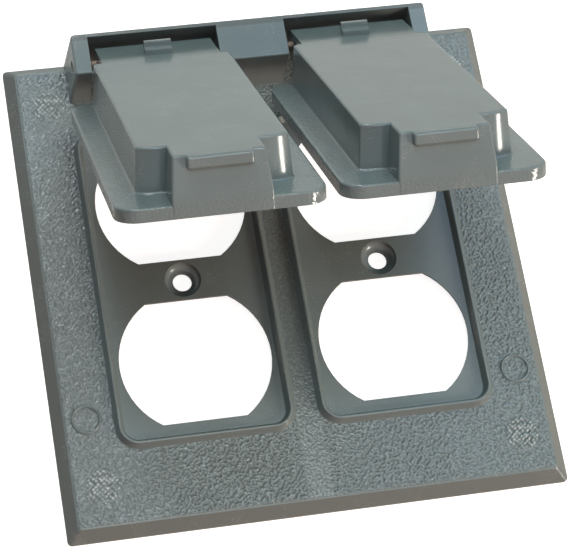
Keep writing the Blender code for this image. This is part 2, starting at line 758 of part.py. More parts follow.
def make_pin(side, material):
    """A steel hinge pin, from the middle of the housing to just inside its outer side."""
    inner = GANG_X - POCKET_WIDTH / 2 - PIN_SEAT
    outer = HOUSING_HALF_WIDTH - PIN_END_GAP
    half = (outer - inner) / 2
    radius = PIN_DIAMETER / 2
    profile = [
        (0.0, half),
        (radius - PIN_CHAMFER, half),
        (radius, half - PIN_CHAMFER),
        (radius, PIN_CHAMFER - half),
        (radius - PIN_CHAMFER, -half),
        (0.0, -half),
    ]
    mesh = turned_mesh("hinge_pin", profile, 24)
    mesh.transform(Matrix.Rotation(math.pi / 2, 4, "Y"))
    name = "hinge_pin_right" if side > 0 else "hinge_pin_left"
    return finished(name, mesh, material, (side * (inner + outer) / 2, HINGE_Y, HINGE_Z))


def around_axis(radius, angle):
    """A point about the hinge axis as (y, z), with the angle from +Z towards +Y."""
    return Vector((radius * math.sin(angle), radius * math.cos(angle)))


def along_coil(angle):
    """The way that the wire runs at an angle, as (y, z)."""
    return Vector((math.cos(angle), -math.sin(angle)))


def spring_path():
    """The wire of one spring as points: the leg on the pocket's floor, the coil, the leg in the lid."""
    opening = math.radians(REST_OPENING)
    start = math.radians(FLOOR_LEG_ANGLE)
    end = math.pi + opening
    turn = 2 * math.pi * COIL_TURNS + end - start
    on_coil = around_axis(COIL_RADIUS, start)
    drop = on_coil.y - (FACE_Z - HINGE_Z + WIRE_DIAMETER / 2 + SPRING_GAP)
    foot = on_coil - along_coil(start) * drop / along_coil(start).y
    points = [(-LEG_OFFSET, *foot)]
    steps = round(COIL_STEPS * turn / (2 * math.pi))
    for i in range(steps + 1):
        share = i / steps
        points.append((LEG_OFFSET * (2 * share - 1), *around_axis(COIL_RADIUS, start + turn * share)))
    reach = LEG_TIP + LID_WALL - BOX_REAR
    tip = around_axis(COIL_RADIUS, end) + along_coil(end) * reach
    points.append((LEG_OFFSET, *tip))
    return points


def make_spring(side, material):
    """A torsion spring round the pin, in its place at rest."""
    curve = bpy.data.curves.new("torsion_spring", "CURVE")
    curve.dimensions = "3D"
    curve.bevel_depth = WIRE_DIAMETER / 2
    curve.bevel_resolution = 2
    curve.use_fill_caps = True
    points = spring_path()
    spline = curve.splines.new("POLY")
    spline.points.add(len(points) - 1)
    for point, (x, y, z) in zip(spline.points, points):
        point.co = (side * x, y, z, 1.0)
    name = "torsion_spring_right" if side > 0 else "torsion_spring_left"
    return finished(name, mesh_of_curve(curve), material, (side * GANG_X, HINGE_Y, HINGE_Z))


def main():
    """Builds the cover."""
    enamel = new_material("grey_enamel", (0.17, 0.205, 0.207), 0.38, 0.0)
    steel = new_material("pin_steel", (0.55, 0.55, 0.56), 0.3, 1.0)
    spring_steel = new_material("spring_steel", (0.45, 0.45, 0.46), 0.35, 1.0)
    foam = new_material("gasket_foam", (0.03, 0.03, 0.03), 0.9, 0.0)
    make_base_plate(enamel)
    finished("plate_gasket", make_plate_gasket_mesh(), foam)
    lid_mesh = make_lid_mesh()
    gasket_mesh = make_lid_gasket_mesh()
    for side, word in ((-1, "left"), (1, "right")):
        hinge = bpy.data.objects.new("hinge_" + word, None)
        PARTS.objects.link(hinge)
        hinge.location = (side * GANG_X, HINGE_Y, HINGE_Z)
        hinge.rotation_euler = (-math.radians(REST_OPENING), 0.0, 0.0)
        finished("lid_" + word, lid_mesh, enamel, parent=hinge)
        finished("lid_gasket_" + word, gasket_mesh, foam, parent=hinge)
        make_pin(side, steel)
        make_spring(side, spring_steel)


main()
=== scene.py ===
import math

import bpy
import numpy as np
from bpy.props import FloatProperty, FloatVectorProperty, IntProperty, PointerProperty
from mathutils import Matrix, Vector


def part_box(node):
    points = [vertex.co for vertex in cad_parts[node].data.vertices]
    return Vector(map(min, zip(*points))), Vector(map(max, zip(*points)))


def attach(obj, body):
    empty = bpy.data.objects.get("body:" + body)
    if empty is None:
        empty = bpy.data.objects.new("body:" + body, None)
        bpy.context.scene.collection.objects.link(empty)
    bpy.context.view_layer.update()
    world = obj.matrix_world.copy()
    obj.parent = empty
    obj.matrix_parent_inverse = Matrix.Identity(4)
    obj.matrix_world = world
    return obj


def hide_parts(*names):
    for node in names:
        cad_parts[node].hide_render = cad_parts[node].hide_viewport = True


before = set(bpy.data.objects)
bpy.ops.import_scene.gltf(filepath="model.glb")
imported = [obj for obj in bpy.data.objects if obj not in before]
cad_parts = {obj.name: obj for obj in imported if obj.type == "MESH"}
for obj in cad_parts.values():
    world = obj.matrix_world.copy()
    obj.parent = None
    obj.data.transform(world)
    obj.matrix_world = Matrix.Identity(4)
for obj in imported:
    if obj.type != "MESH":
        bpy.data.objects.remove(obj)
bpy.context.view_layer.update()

bl_info = {
    "name": "Weatherproof outlet cover",
    "version": (1, 0, 0),
    "blender": (4, 5, 0),
    "location": "View3D > Sidebar > Outlet Cover",
    "description": "Dresses a two-gang weatherproof outlet cover: hammered enamel, castings, pins, springs and foam",
    "category": "Object",
}

MM = 0.001

# Places on the casting, in metres. The gangs, rims and pockets lie at GANG_X on both sides of the middle.
PLATE_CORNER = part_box("base_plate")[1]
GANG_X = 23.02 * MM
FACE_Z = 3.7 * MM
BEVEL_WIDTH = 2.6 * MM
RIM_HALF = (20.55 * MM, 38.95 * MM)
RIM_CORNER = 5.3 * MM
HOUSING_X = 41.87 * MM
HOUSING_Y = (47.0 * MM, 57.2 * MM)
POCKET_HALF = 15.05 * MM
POCKET_REAR = 56.2 * MM
SPOT_X, SPOT_Y = 47.9 * MM, 46.4 * MM
SPOT_CENTRES = [(sx * SPOT_X, sy * SPOT_Y) for sx in (-1, 1) for sy in (-1, 1)]
RING_CENTRES = {"left": (-49.6 * MM, -30.7 * MM), "right": (49.4 * MM, -30.8 * MM)}

# The hinge axes, how far the lids stand open, and the top of a closed lid's flange over its hinge axis
HINGE_Y = 50.9 * MM
HINGE_Z = 14.55 * MM
REST_OPENING = math.radians(49.0)
FLANGE_TOP = -5.2 * MM

# Colours beside those that can be changed, in linear light
WHITE = (1.0, 1.0, 1.0, 1.0)
DUST = (0.5, 0.49, 0.46, 1.0)
PIN_STAIN = (0.07, 0.055, 0.045, 1.0)
WIRE_STAIN = (0.22, 0.2, 0.18, 1.0)
FADED_FOAM = (0.07, 0.06, 0.052, 1.0)


# Sizes and colours that can be changed

class CoverSizes(bpy.types.PropertyGroup):
    """Sizes of the surface relief and the springs."""

    grid_step: FloatProperty(
        name="Grid step", description="Spacing of the hammered face's grid", default=0.15 * MM, unit="LENGTH"
    )
    fine_step: FloatProperty(
        name="Fine grid step",
        description="Spacing of the grid across the knurled spots",
        default=0.13 * MM,
        unit="LENGTH",
    )
    lump_pitch: FloatProperty(
        name="Lump pitch",
        description="Distance between the hammered lumps, across them",
        default=0.52 * MM,
        unit="LENGTH",
    )
    lump_stretch: FloatProperty(name="Lump stretch", description="Length of a lump over its width", default=1.45)
    lump_slant: FloatProperty(
        name="Lump slant",
        description="Direction in which the lumps run",
        default=math.radians(-39.0),
        subtype="ANGLE",
    )
    lump_height: FloatProperty(
        name="Lump height", description="Height of the hammered lumps", default=0.24 * MM, unit="LENGTH"
    )
    spot_radius: FloatProperty(
        name="Spot radius", description="Radius of the round knurled spots", default=3.9 * MM, unit="LENGTH"
    )
    knurl_pitch: FloatProperty(
        name="Knurl pitch",
        description="Distance between the diamonds of a knurled spot",
        default=0.88 * MM,
        unit="LENGTH",
    )
    knurl_height: FloatProperty(
        name="Knurl height", description="Height of the diamonds", default=0.4 * MM, unit="LENGTH"
    )
    ring_radius: FloatProperty(
        name="Ring radius", description="Middle radius of the raised ring marks", default=3.1 * MM, unit="LENGTH"
    )
    ring_width: FloatProperty(
        name="Ring width", description="Width of the raised ring marks", default=0.65 * MM, unit="LENGTH"
    )
    ring_height: FloatProperty(
        name="Ring height", description="Height of the raised ring marks", default=0.6 * MM, unit="LENGTH"
    )
    wire_radius: FloatProperty(
        name="Wire radius", description="Radius of the spring wire", default=0.4 * MM, unit="LENGTH"
    )
    coil_radius: FloatProperty(
        name="Coil radius", description="Middle radius of the spring's coil", default=2.0 * MM, unit="LENGTH"
    )
    coil_turns: IntProperty(name="Coil turns", description="Whole turns of each spring", default=6, min=1)
    coil_pitch: FloatProperty(
        name="Coil pitch", description="Distance between turns", default=1.3 * MM, unit="LENGTH"
    )


class CoverFinish(bpy.types.PropertyGroup):
    """Colours of the finishes."""

    enamel: FloatVectorProperty(
        name="Enamel",
        description="Grey enamel on the castings",
        default=(0.152, 0.188, 0.19, 1.0),
        size=4,
        subtype="COLOR",
    )
    # Lighter tone for the slow drift of the enamel; on the hammered lumps' crests it is painted light.
    light_tone_and_painted_light: FloatVectorProperty(
        name="Light enamel",
        description="Enamel where it lies thin, on crests",
        default=(0.2, 0.247, 0.251, 1.0),
        size=4,
        subtype="COLOR",
    )
    # Painted shade in the valleys between the hammered lumps.
    painted_valley_shade: FloatVectorProperty(
        name="Dark enamel",
        description="Enamel where it lies thick, in valleys",
        default=(0.124, 0.151, 0.153, 1.0),
        size=4,
        subtype="COLOR",
    )
    # Painted highlight on the tops of the knurled spots' diamonds.
    painted_knurl_highlight: FloatVectorProperty(
        name="Burnished enamel",
        description="Enamel rubbed bright on the knurled spots",
        default=(0.46, 0.5, 0.51, 1.0),
        size=4,
        subtype="COLOR",
    )
    # Painted shade on the plate's bevel: a darker, warmer tone.
    painted_bevel_shade: FloatVectorProperty(
        name="Bevel enamel",
        description="Thin, warmer enamel along the plate's bevel",
        default=(0.138, 0.153, 0.146, 1.0),
        size=4,
        subtype="COLOR",
    )
    steel: FloatVectorProperty(
        name="Steel", description="Springs", default=(0.5, 0.48, 0.45, 1.0), size=4, subtype="COLOR"
    )
    # Dark steel for the pins: painted shade of the hinge pockets.
    pin_steel_painted_shade: FloatVectorProperty(
        name="Dark steel", description="Blackened pins", default=(0.14, 0.11, 0.09, 1.0), size=4, subtype="COLOR"
    )
    foam: FloatVectorProperty(
        name="Foam",
        description="Closed-cell foam of the gaskets",
        default=(0.032, 0.026, 0.022, 1.0),
        size=4,
        subtype="COLOR",
    )
    floor: FloatVectorProperty(
        name="Floor", description="Studio floor", default=(0.66, 0.61, 0.56, 1.0), size=4, subtype="COLOR"
    )


# Meshes from arrays

def surface(name, points, keep=None, closed=False, caps=False, layers=None):
    """Makes an object from a grid of points, shaped (rows, columns, 3).

    Each square of neighbours gives one face, which looks along (step in the columns) x (step in the rows).
    keep marks the squares to use, closed joins the last column to the first, caps closes the first and last row.
    layers holds named values for each point.
    """
    rows, columns = points.shape[:2]
    index = np.arange(rows * columns).reshape(rows, columns)
    if closed:
        index = np.concatenate([index, index[:, :1]], axis=1)
    quads = np.stack([index[:-1, :-1], index[:-1, 1:], index[1:, 1:], index[1:, :-1]], axis=-1)
    quads = quads[keep] if keep is not None else quads.reshape(-1, 4)
    used, quads = np.unique(quads, return_inverse=True)
    quads = quads.reshape(-1, 4)
    loops = quads.ravel()
    sizes = np.full(len(quads), 4)
    if caps:
        ends = [np.arange(columns)[::-1], (rows - 1) * columns + np.arange(columns)]
        loops = np.concatenate([loops, *ends])
        sizes = np.concatenate([sizes, [columns, columns]])
    mesh = bpy.data.meshes.new(name)
    mesh.vertices.add(len(used))
    mesh.vertices.foreach_set("co", points.reshape(-1, 3)[used].astype(np.float32).ravel())
    mesh.loops.add(len(loops))
    mesh.loops.foreach_set("vertex_index", loops.astype(np.int32))
    mesh.polygons.add(len(sizes))
    starts = np.concatenate([[0], np.cumsum(sizes)[:-1]])
    mesh.polygons.foreach_set("loop_start", starts.astype(np.int32))
    for layer, values in (layers or {}).items():
        attribute = mesh.attributes.new(layer, "FLOAT", "POINT")
        attribute.data.foreach_set("value", values.ravel()[used].astype(np.float32))
    mesh.update(calc_edges=True)
    mesh.validate()
    mesh.shade_smooth()
    piece = bpy.data.objects.new(name, mesh)
    bpy.context.scene.collection.objects.link(piece)
    return piece


def finish_piece(piece, material, body, slot, *nodes):
    """Gives a piece its material and its body, and hides the nodes that it stands for. The slot is not used."""
    piece.data.materials.clear()
    piece.data.materials.append(material)
    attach(piece, body)
    if nodes:
        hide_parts(*nodes)


def smooth_step(low, high, value):
    """0 below low, 1 above high, and between them the share squared, times three less twice the share."""
    share = np.clip((value - low) / (high - low), 0.0, 1.0)
    return share * share * (3.0 - 2.0 * share)


def outside_box(x, y, centre, half, radius=0.0):
    """Distance from a rounded rectangle's edge, more than 0 outside.

    It is the length of what exceeds the rectangle inside the corners' centres, less the corners' radius.
    """
    dx = np.abs(x - centre[0]) - (half[0] - radius)
    dy = np.abs(y - centre[1]) - (half[1] - radius)
    beyond = np.hypot(np.maximum(dx, 0.0), np.maximum(dy, 0.0))
    return beyond + np.minimum(np.maximum(dx, dy), 0.0) - radius


def cell_value(i, j, seed):
    """A number from 0 to 1 for each cell of a lattice: the fraction left by a large multiple of a sine."""
    value = np.sin(i * 12.9898 + j * 78.233 + seed * 37.719) * 43758.5453
    return value - np.floor(value)


def domes(x, y, pitch, seed, jitter=0.8, steepness=1.9, sharpness=9.0):
    """Low domes on a jittered lattice, from about 0 in the valleys to 1 on the crests.

    Each dome's height falls with the squared distance from its centre. A soft maximum, the logarithm of a sum of
    exponentials, joins the nine that lie nearest.
    """
    u = x / pitch
    v = y / pitch
    i = np.floor(u)
    j = np.floor(v)
    total = np.zeros_like(u)
    for di in (-1, 0, 1):
        for dj in (-1, 0, 1):
            ci = i + di
            cj = j + dj
            across = u - (ci + 0.5 + jitter * (cell_value(ci, cj, seed) - 0.5))
            along = v - (cj + 0.5 + jitter * (cell_value(ci, cj, seed + 1) - 0.5))
            stretch = 0.8 + 0.5 * cell_value(ci, cj, seed + 2)
            tall = 0.7 + 0.3 * cell_value(ci, cj, seed + 3)
            dome = tall - steepness * ((across * stretch) ** 2 + (along / stretch) ** 2)
            total += np.exp(sharpness * dome)
    return np.clip(np.log(total) / sharpness, 0.0, 1.0)


def drift(x, y, pitch, seed):
    """Slow waves from 0 to 1: lattice values joined smoothly between the cells' corners."""
    u = x / pitch
    v = y / pitch
    i = np.floor(u)
    j = np.floor(v)
    su = smooth_step(0.0, 1.0, u - i)
    sv = smooth_step(0.0, 1.0, v - j)
    low = cell_value(i, j, seed) * (1 - su) + cell_value(i + 1, j, seed) * su
    high = cell_value(i, j + 1, seed) * (1 - su) + cell_value(i + 1, j + 1, seed) * su
    return low * (1 - sv) + high * sv


def grid_lines(low, high, step, fine_step, fine_ranges, samples=4000):
    """Positions of grid lines, spaced by the fine step inside the ranges and by the step elsewhere.

    One over the wanted step is summed from low to high, and a line lies at each even part of the sum. The change
    from one step to the other takes four steps.
    """
    place = np.linspace(low, high, samples)
    ease = 4 * step
    inside = np.zeros_like(place)
    for start, end in fine_ranges:
        rise = smooth_step(start - ease, start, place)
        fall = 1 - smooth_step(end, end + ease, place)
        inside = np.maximum(inside, rise * fall)
    density = (1 - inside) / step + inside / fine_step
    count = np.concatenate([[0.0], np.cumsum((density[1:] + density[:-1]) / 2 * np.diff(place))])
    lines = math.ceil(count[-1]) + 1
    return np.interp(np.linspace(0.0, count[-1], lines), count, place)


def wire(name, path, radius, sides=14):
    """A round wire along a path: circles across the path, joined from end to end.

    The circles over a rounded end lie beyond the path by the radius times the sine of an angle, and their own radius
    is the wire's times its cosine.
    """
    way = np.gradient(path, axis=0)
    way /= np.linalg.norm(way, axis=1, keepdims=True)
    side = np.array([1.0, 0.0, 0.0]) - way * way[:, :1]
    side /= np.linalg.norm(side, axis=1, keepdims=True)
    up = np.cross(way, side)
    tip = np.radians([80.0, 60.0, 35.0, 10.0])
    first = path[0] - way[0] * (np.sin(tip) * radius)[:, None]
    last = path[-1] + way[-1] * (np.sin(tip[::-1]) * radius)[:, None]
    centres = np.concatenate([first, path[1:-1], last])
    radii = np.concatenate([np.cos(tip), np.ones(len(path) - 2), np.cos(tip[::-1])]) * radius
    final = len(path) - 1
    pick = np.concatenate([np.zeros(len(tip), int), np.arange(1, final), np.full(len(tip), final)])
    turn = np.linspace(0.0, 2 * math.pi, sides, endpoint=False)[None, :, None]
    across = np.cos(turn) * side[pick][:, None] + np.sin(turn) * up[pick][:, None]
    points = centres[:, None] + radii[:, None, None] * across
    steps = np.linalg.norm(np.diff(centres, axis=0), axis=1)
    length = np.concatenate([[0.0], np.cumsum(steps)])
    along = np.repeat(length[:, None], sides, axis=1)
    return surface(name, points, closed=True, caps=True, layers={"along": along})


# Node trees

def fill(tree, inputs, values):
    """Gives named or numbered inputs their values, or links them where the value is another node's output."""
    for name, value in values.items():
        if isinstance(value, bpy.types.NodeSocket):
            tree.links.new(value, inputs[name])
        else:
            inputs[name].default_value = value


def add_node(tree, kind, sockets=None, **settings):
    """Adds a node with its settings and fills its inputs."""
    node = tree.nodes.new(kind)
    for name, value in settings.items():
        setattr(node, name, value)
    fill(tree, node.inputs, sockets or {})
    return node


def maths(tree, operation, first, second):
    """One operation on two values."""
    return add_node(tree, "ShaderNodeMath", {0: first, 1: second}, operation=operation).outputs[0]


def scaled(tree, value, factor):
    """A value times a factor."""
    return maths(tree, "MULTIPLY", value, factor)


def spread(tree, value, low, high):
    """Maps a value from 0 to 1 onto a range, in a straight line."""
    return maths(tree, "ADD", scaled(tree, value, high - low), low)


def between(tree, value, low, high, to_low=0.0, to_high=1.0):
    """Maps a value smoothly from one range to another."""
    sockets = {"Value": value, "From Min": low, "From Max": high, "To Min": to_low, "To Max": to_high}
    return add_node(tree, "ShaderNodeMapRange", sockets, interpolation_type="SMOOTHSTEP").outputs["Result"]


def mixed(tree, share, first, second):
    """A blend of two colours."""
    return add_node(tree, "ShaderNodeMix", {0: share, 6: first, 7: second}, data_type="RGBA").outputs[2]


def vectors(tree, operation, sockets):
    """One operation on vectors, as the node's outputs."""
    return add_node(tree, "ShaderNodeVectorMath", sockets, operation=operation).outputs


def noise(tree, vector, scale, detail, roughness=0.5):
    """Noise around 0.5, as the node's outputs."""
    sockets = {"Vector": vector, "Scale": scale, "Detail": detail, "Roughness": roughness}
    return add_node(tree, "ShaderNodeTexNoise", sockets).outputs


def bump(tree, height, depth):
    """A bump normal whose height is given in metres for values from 0 to 1."""
    return add_node(tree, "ShaderNodeBump", {"Height": height, "Distance": depth}).outputs["Normal"]


def new_group(name, inputs, outputs):
    """A shader node group with named inputs and outputs.

    inputs holds their defaults: a number makes a number, anything else a vector. The outputs are numbers.
    """
    group = bpy.data.node_groups.new(name, "ShaderNodeTree")
    for label, default in inputs.items():
        kind = "NodeSocketFloat" if isinstance(default, float) else "NodeSocketVector"
        socket = group.interface.new_socket(label, in_out="INPUT", socket_type=kind)
        if default is not None:
            socket.default_value = default
    for label in outputs:
        group.interface.new_socket(label, in_out="OUTPUT", socket_type="NodeSocketFloat")
    return group, group.nodes.new("NodeGroupInput").outputs, group.nodes.new("NodeGroupOutput").inputs


def build_enamel_flow():
    """The faint orange peel of sprayed enamel, with a slow drift of tone."""
    inputs = {"Vector": None, "Peel Scale": 900.0, "Drift Scale": 45.0}
    group, given, results = new_group("Enamel flow", inputs, ("Height", "Drift"))
    peel = noise(group, given["Vector"], given["Peel Scale"], 2.0, 0.45)["Fac"]
    slow = noise(group, given["Vector"], given["Drift Scale"], 3.0)["Fac"]
    fill(group, results, {"Height": peel, "Drift": between(group, slow, 0.35, 0.65)})
    return group


def build_cast_grain():
    """The pebbled grain of a die casting under thin enamel, from 0 to 1."""
    inputs = {"Vector": None, "Scale": 1000.0, "Waver": 0.4 * MM}
    group, given, results = new_group("Cast grain", inputs, ("Height",))
    bend = noise(group, given["Vector"], 500.0, 1.0)["Color"]
    shift = vectors(group, "SCALE", {0: bend, "Scale": given["Waver"]})[0]
    moved = vectors(group, "ADD", {0: given["Vector"], 1: shift})[0]
    sockets = {"Vector": moved, "Scale": given["Scale"], "Smoothness": 0.6}
    cells = add_node(group, "ShaderNodeTexVoronoi", sockets, feature="SMOOTH_F1").outputs["Distance"]
    fill(group, results, {"Height": between(group, cells, 0.1, 0.75, 1.0, 0.0)})
    return group


def build_settled_dust():
    """A mask of fine dust that lies as specks in patches."""
    inputs = {"Vector": None, "Scale": 160.0, "Amount": 0.2}
    group, given, results = new_group("Settled dust", inputs, ("Mask",))
    patches = noise(group, given["Vector"], given["Scale"], 6.0, 0.65)["Fac"]
    specks = noise(group, given["Vector"], 2600.0, 1.0)["Fac"]
    share = scaled(group, between(group, patches, 0.48, 0.7), between(group, specks, 0.5, 0.68))
    fill(group, results, {"Mask": scaled(group, share, given["Amount"])})
    return group


def build_drawn_lines():
    """Fine lines along the axes that Stretch makes short, as on drawn wire and turned pins, and a mask of stains."""
    inputs = {"Vector": None, "Scale": 9000.0, "Stretch": (0.02, 1.0, 1.0)}
    group, given, results = new_group("Drawn lines", inputs, ("Height", "Stain"))
    drawn = vectors(group, "MULTIPLY", {0: given["Vector"], 1: given["Stretch"]})[0]
    lines = noise(group, drawn, given["Scale"], 2.0)["Fac"]
    stain = noise(group, given["Vector"], 700.0, 4.0, 0.6)["Fac"]
    fill(group, results, {"Height": lines, "Stain": between(group, stain, 0.45, 0.7)})
    return group


GROUP_BUILDERS = {
    "Enamel flow": build_enamel_flow,
    "Cast grain": build_cast_grain,
    "Settled dust": build_settled_dust,
    "Drawn lines": build_drawn_lines,
}


def use_group(tree, name, sockets):
    """Places a node group in a tree. Each group is built once, and the materials share it."""
    group = bpy.data.node_groups.get(name) or GROUP_BUILDERS[name]()
    return add_node(tree, "ShaderNodeGroup", sockets, node_tree=group).outputs


# Materials

def new_material(name):
    """A material with its Principled shader and the object's own coordinates."""
    material = bpy.data.materials.new(name)
    material.use_nodes = True
    tree = material.node_tree
    shader = tree.nodes["Principled BSDF"]
    place = tree.nodes.new("ShaderNodeTexCoord").outputs["Object"]
    return material, tree, shader, place


def finish_material(name, builder):
    """A material that is built once from the scene's colours."""
    return bpy.data.materials.get(name) or builder(bpy.context.scene.cover_finish)


def smooth_enamel(finish):
    """Satin enamel on smooth castings, with faint cast grain on the flanges of the lids.

    The flanges are found by their height over the hinge, after the coordinates are turned as if the lids were closed.
    """
    material, tree, shader, place = new_material("smooth_enamel")
    sockets = {"Vector": place, "Location": (0.0, HINGE_Y, HINGE_Z), "Rotation": (-REST_OPENING, 0.0, 0.0)}
    closed = add_node(tree, "ShaderNodeMapping", sockets, vector_type="TEXTURE").outputs[0]
    over_hinge = add_node(tree, "ShaderNodeSeparateXYZ", {"Vector": closed}).outputs["Z"]
    flange = between(tree, over_hinge, FLANGE_TOP - 0.3 * MM, FLANGE_TOP, 1.0, 0.0)
    flow = use_group(tree, "Enamel flow", {"Vector": place, "Peel Scale": 700.0, "Drift Scale": 60.0})
    grain = use_group(tree, "Cast grain", {"Vector": place, "Scale": 1500.0})
    dust = use_group(tree, "Settled dust", {"Vector": place, "Amount": 0.18})
    tone = mixed(tree, scaled(tree, flow["Drift"], 0.25), finish.enamel, finish.light_tone_and_painted_light)
    grain_height = scaled(tree, grain["Height"], scaled(tree, flange, 0.045))
    peel_height = scaled(tree, flow["Height"], 0.006)
    fill(tree, shader.inputs, {
        "Base Color": mixed(tree, dust["Mask"], tone, DUST),
        "Roughness": spread(tree, flow["Drift"], 0.12, 0.16),
        "Normal": bump(tree, maths(tree, "ADD", grain_height, peel_height), 1.0 * MM),
    })
    return material


def plate_enamel(finish):
    """Enamel on the plate's rims, floors and bevel, with a slightly rough sprayed surface.

    The bevel has painted shade: a darker, warmer tone. It is where a point lies less than the bevel's width inside
    the plate's edge.
    """
    material, tree, shader, place = new_material("plate_enamel")
    flow = use_group(tree, "Enamel flow", {"Vector": place, "Peel Scale": 800.0, "Drift Scale": 50.0})
    dust = use_group(tree, "Settled dust", {"Vector": place, "Amount": 0.25})
    from_middle = vectors(tree, "ABSOLUTE", {0: place})[0]
    from_edge = vectors(tree, "SUBTRACT", {0: from_middle, 1: PLATE_CORNER})[0]
    sides = add_node(tree, "ShaderNodeSeparateXYZ", {"Vector": from_edge}).outputs
    nearest = maths(tree, "MAXIMUM", sides["X"], sides["Y"])
    # Mask of the bevel, which gets the painted shade.
    bevel = between(tree, nearest, -BEVEL_WIDTH, 0.3 * MM - BEVEL_WIDTH)
    thin = between(tree, flow["Drift"], 0.0, 1.0, 0.25, 0.4)
    # The bevel's tone is painted shade.
    tone = mixed(tree, bevel, mixed(tree, thin, finish.enamel, finish.light_tone_and_painted_light), finish.painted_bevel_shade)
    fill(tree, shader.inputs, {
        "Base Color": mixed(tree, dust["Mask"], tone, DUST),
        "Roughness": spread(tree, flow["Drift"], 0.24, 0.27),
        "Normal": bump(tree, flow["Height"], 0.02 * MM),
    })
    return material


def hammered_enamel(finish):
    """Enamel over the hammered face: painted light on the lumps and painted shade between them, glossier on the
    lumps.

    It gets a painted highlight where the diamonds of the knurled spots take the crest past 1.
    """
    material, tree, shader, place = new_material("hammered_enamel")
    crest = add_node(tree, "ShaderNodeAttribute", attribute_name="crest").outputs["Fac"]
    flow = use_group(tree, "Enamel flow", {"Vector": place, "Peel Scale": 2300.0, "Drift Scale": 40.0})
    grain = use_group(tree, "Cast grain", {"Vector": place, "Scale": 2100.0})
    # Painted light on the lumps' crests and painted shade in the valleys between them.
    lit = mixed(tree, between(tree, crest, 0.2, 0.8), finish.painted_valley_shade, finish.light_tone_and_painted_light)
    # Painted highlight where the crest passes 1, on the diamonds of the knurled spots.
    painted_knurl_highlight = mixed(tree, between(tree, crest, 0.85, 1.1), lit, finish.painted_knurl_highlight)
    relief = maths(tree, "ADD", scaled(tree, grain["Height"], 0.5), flow["Height"])
    fill(tree, shader.inputs, {
        "Base Color": mixed(tree, scaled(tree, flow["Drift"], 0.2), painted_knurl_highlight, finish.enamel),
        "Roughness": between(tree, crest, 0.2, 0.8, 0.3, 0.13),
        "Normal": bump(tree, relief, 0.02 * MM),
    })
    return material


def turned_steel(finish):
    """Steel pins made dark as painted shade of the hinge pockets, with turning lines round the pin and faint stains.
    """
    material, tree, shader, place = new_material("turned_steel")
    lines = use_group(tree, "Drawn lines", {"Vector": place, "Scale": 12000.0, "Stretch": (1.0, 0.03, 0.03)})
    fill(tree, shader.inputs, {
        "Base Color": mixed(tree, scaled(tree, lines["Stain"], 0.45), finish.pin_steel_painted_shade, PIN_STAIN),
        "Metallic": 1.0,
        "Roughness": spread(tree, lines["Height"], 0.4, 0.6),
        "Normal": bump(tree, lines["Height"], 0.004 * MM),
    })
    return material


def spring_steel(finish):
    """Drawn spring wire, with fine lines and darker lengths along the wire."""
    material, tree, shader, place = new_material("spring_wire")
    along = add_node(tree, "ShaderNodeAttribute", attribute_name="along").outputs["Fac"]
    lines = use_group(tree, "Drawn lines", {"Vector": place, "Scale": 9000.0, "Stretch": (1.0, 0.05, 0.05)})
    sockets = {"W": along, "Scale": 260.0, "Detail": 2.0}
    bands = add_node(tree, "ShaderNodeTexNoise", sockets, noise_dimensions="1D").outputs["Fac"]
    share = scaled(tree, between(tree, bands, 0.4, 0.7), 0.5)
    fill(tree, shader.inputs, {
        "Base Color": mixed(tree, share, finish.steel, WIRE_STAIN),
        "Metallic": 1.0,
        "Roughness": spread(tree, lines["Stain"], 0.25, 0.45),
        "Normal": bump(tree, lines["Height"], 0.004 * MM),
    })
    return material


def gasket_foam(finish):
    """Matt closed-cell foam: fine open pores in a skin, with painted shade in the pores and a brown-black drift of
    tone.
    """
    material, tree, shader, place = new_material("closed_cell_foam")
    pores = use_group(tree, "Cast grain", {"Vector": place, "Scale": 2600.0, "Waver": 0.2 * MM})
    flow = use_group(tree, "Enamel flow", {"Vector": place, "Peel Scale": 3000.0, "Drift Scale": 120.0})
    dark = tuple(0.45 * value for value in finish.foam[:3]) + (1.0,)
    # Painted shade in the low pores, and the foam's own colour on the cells between them.
    tone = mixed(tree, scaled(tree, pores["Height"], 0.8), dark, finish.foam)
    fill(tree, shader.inputs, {
        "Base Color": mixed(tree, scaled(tree, flow["Drift"], 0.25), tone, FADED_FOAM),
        "Roughness": spread(tree, flow["Height"], 0.85, 0.95),
        "Normal": bump(tree, pores["Height"], 0.12 * MM),
        "Sheen Weight": 0.15,
        "Sheen Roughness": 0.6,
    })
    return material


def studio_floor(finish):
    """A pale floor that keeps the object's shadow and shows as white where it is lit."""
    material, tree, shader, _ = new_material("studio_floor")
    path = tree.nodes.new("ShaderNodeLightPath").outputs
    mirrored = maths(tree, "MAXIMUM", path["Is Glossy Ray"], path["Is Transmission Ray"])
    fill(tree, shader.inputs, {
        "Base Color": finish.floor,
        "Roughness": 0.9,
        "Specular IOR Level": 0.0,
        "Emission Color": WHITE,
        "Emission Strength": maths(
            tree, "ADD", scaled(tree, path["Is Camera Ray"], 0.9), scaled(tree, mirrored, 0.2)
        ),
    })
    return material


